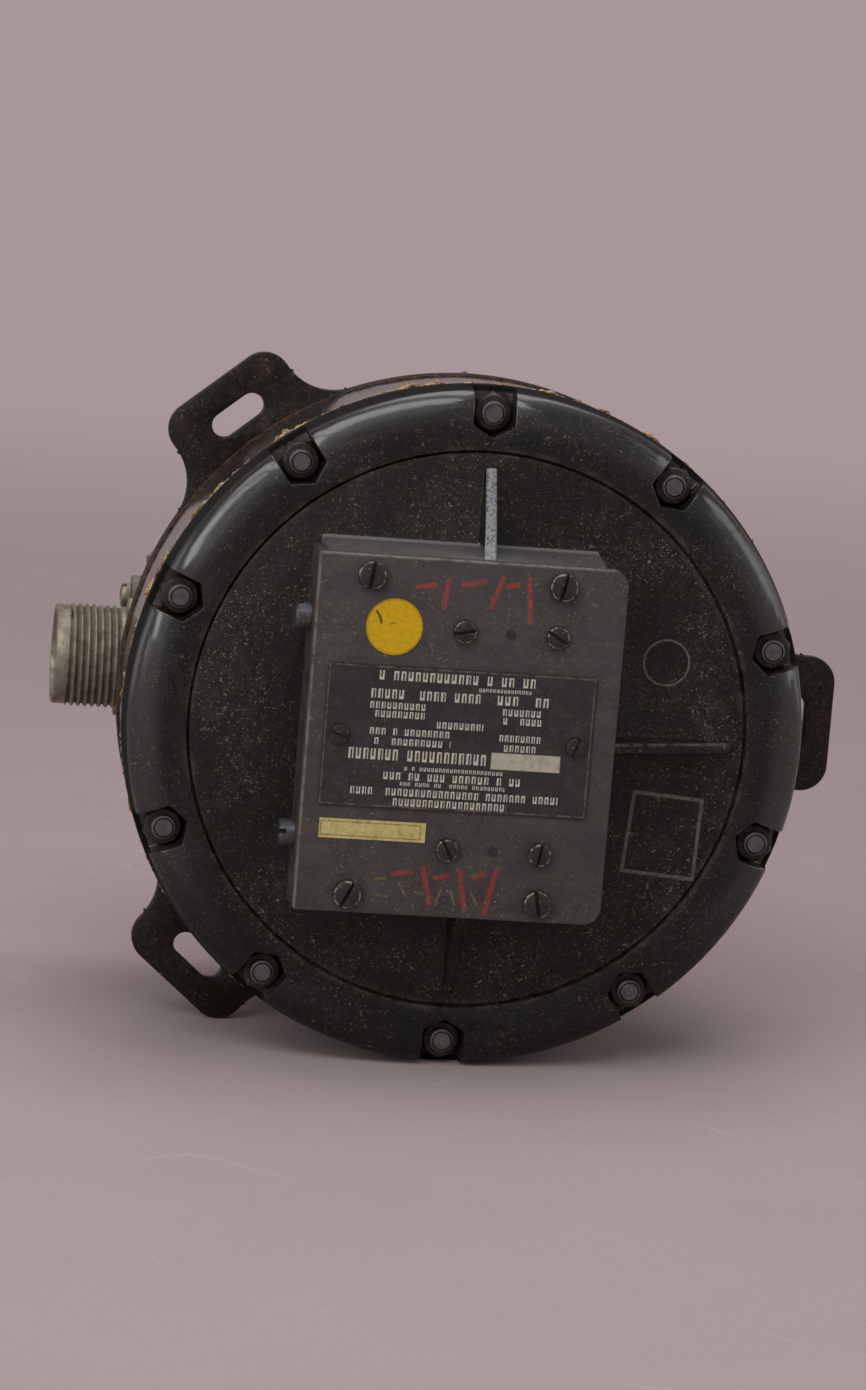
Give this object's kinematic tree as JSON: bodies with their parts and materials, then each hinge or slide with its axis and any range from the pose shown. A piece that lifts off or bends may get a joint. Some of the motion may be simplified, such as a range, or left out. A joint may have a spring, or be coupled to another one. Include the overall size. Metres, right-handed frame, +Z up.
{
  "type": "magnetic heading transmitter",
  "caption": "Round liquid-filled compass transmitter with slotted mounting lugs, a compensator box on its face and a round plug socket on its side.",
  "frame": {"origin": "on the case axis, in the plane of the mounting plate's rear face, where the lugs seat", "axes": "+Y runs along the case axis away from the face, towards the bowl, +Z is up as the case stands on its rim and lower lug, +X is the viewer's right, so the plug socket points to -X"},
  "size_m": [0.1412, 0.0977, 0.1214],
  "materials": {
    "cover_plastic": "moulded black-brown plastic, dusty",
    "case_enamel": "glossy black enamel",
    "bowl_enamel": "black enamel on a casting, worn at the edges",
    "plate_enamel": "old black enamel with rust showing through",
    "cork": "old cork sheet soaked with varnish, crumbling at the edge",
    "nut_steel": "dark worn steel",
    "stud_steel": "plain steel",
    "box_plate": "grey-black satin paint, rubbed",
    "box_screws": "blackened steel screws",
    "gasket_paper": "oiled paper gasket",
    "data_foil": "black printed plate with bare lines",
    "sticker_yellow": "yellow paper sticker",
    "strip_paper": "aged cream paper strip",
    "shaft_steel": "turned steel",
    "gear_brass": "machined brass",
    "magnet": "grey hard magnet alloy",
    "connector_olive": "olive-drab plated shell, worn at the threads",
    "insert_resin": "brown moulded insulation",
    "contact_gold": "gold-plated contacts",
    "rubber": "black rubber",
    "diaphragm_bronze": "thin corrugated bronze",
    "bright_metal": "plain machined light alloy",
    "fibre": "red-brown vulcanised fibre",
    "copper_wire": "varnished copper winding",
    "core_iron": "soft iron laminations",
    "lead_cloth": "cloth-covered lead wire",
    "float_brass": "thin spun brass",
    "ruby": "polished synthetic ruby"
  },
  "bodies": {
    "case": {"front_cover": "cover_plastic", "cover_cork": "cork", "case_ring": "case_enamel", "plate_cork": "cork", "mounting_plate": "plate_enamel", "bowl": "bowl_enamel", "case_studs": "stud_steel", "cap_nuts": "nut_steel", "rear_nuts": "stud_steel", "stud_washers": "stud_steel", "box_gasket": "gasket_paper", "box_cover": "box_plate", "side_plate": "box_plate", "shaft_bushes": "gear_brass", "shaft_bearings": "gear_brass", "gear_spindles": "shaft_steel", "gear_washers": "gear_brass", "corner_box_screws": "box_screws", "bearing_screws": "box_screws", "data_plate": "data_foil", "data_plate_screws": "box_screws", "round_sticker": "sticker_yellow", "paper_strip": "strip_paper", "connector_gasket": "rubber", "connector_shell": "connector_olive", "connector_insert": "insert_resin", "connector_contacts": "contact_gold", "connector_screws": "box_screws", "diaphragm": "diaphragm_bronze", "clamp_ring": "bright_metal", "rear_cover": "bright_metal", "rear_cover_screws": "stud_steel", "filler_plug": "gear_brass", "filler_washer": "fibre", "baffle": "bright_metal", "stator_cup": "bright_metal", "stator_screws": "stud_steel", "winding_rings": "fibre", "stator_winding": "copper_wire", "stator_core": "core_iron", "terminal_block": "insert_resin", "leads": "lead_cloth", "pivot_post": "shaft_steel"},
    "float": {"float_lower": "float_brass", "float_upper": "float_brass", "float_stem": "gear_brass", "jewel": "ruby", "rotor_magnet": "magnet"},
    "ns_shaft": {"ns_adjusting_shaft": "shaft_steel", "ns_pinion": "gear_brass"},
    "ew_shaft": {"ew_adjusting_shaft": "shaft_steel", "ew_pinion": "gear_brass"},
    "ns_front_wheel": {"ns_front_gear": "gear_brass", "ns_front_magnets": "magnet"},
    "ns_rear_wheel": {"ns_rear_gear": "gear_brass", "ns_rear_magnets": "magnet"},
    "ew_front_wheel": {"ew_front_gear": "gear_brass", "ew_front_magnets": "magnet"},
    "ew_rear_wheel": {"ew_rear_gear": "gear_brass", "ew_rear_magnets": "magnet"}
  },
  "joints": [
    {"name": "float_spin", "type": "hinge", "parent": "case", "child": "float", "pos_m": [0, -0.00185, 0], "axis": [0, -1, 0], "continuous": true},
    {"name": "ns_adjust", "type": "hinge", "parent": "case", "child": "ns_shaft", "pos_m": [0.00436, -0.0401, 0.01922], "axis": [0.9998, 0, -0.0188], "continuous": true},
    {"name": "ew_adjust", "type": "hinge", "parent": "case", "child": "ew_shaft", "pos_m": [0.00365, -0.0401, -0.01867], "axis": [0.9998, 0, -0.0188], "continuous": true},
    {"name": "ns_front_spin", "type": "hinge", "parent": "case", "child": "ns_front_wheel", "pos_m": [0.00436, -0.0401, 0.01922], "axis": [0, -1, 0], "continuous": true},
    {"name": "ns_rear_spin", "type": "hinge", "parent": "case", "child": "ns_rear_wheel", "pos_m": [0.00436, -0.0401, 0.01922], "axis": [0, -1, 0], "continuous": true},
    {"name": "ew_front_spin", "type": "hinge", "parent": "case", "child": "ew_front_wheel", "pos_m": [0.00365, -0.0401, -0.01867], "axis": [0, -1, 0], "continuous": true},
    {"name": "ew_rear_spin", "type": "hinge", "parent": "case", "child": "ew_rear_wheel", "pos_m": [0.00365, -0.0401, -0.01867], "axis": [0, -1, 0], "continuous": true}
  ],
  "couplings": [
    {"joint": "ns_front_spin", "follows": "ns_adjust", "ratio": 0.5},
    {"joint": "ns_rear_spin", "follows": "ns_adjust", "ratio": -0.5},
    {"joint": "ew_front_spin", "follows": "ew_adjust", "ratio": 0.5},
    {"joint": "ew_rear_spin", "follows": "ew_adjust", "ratio": -0.5}
  ]
}
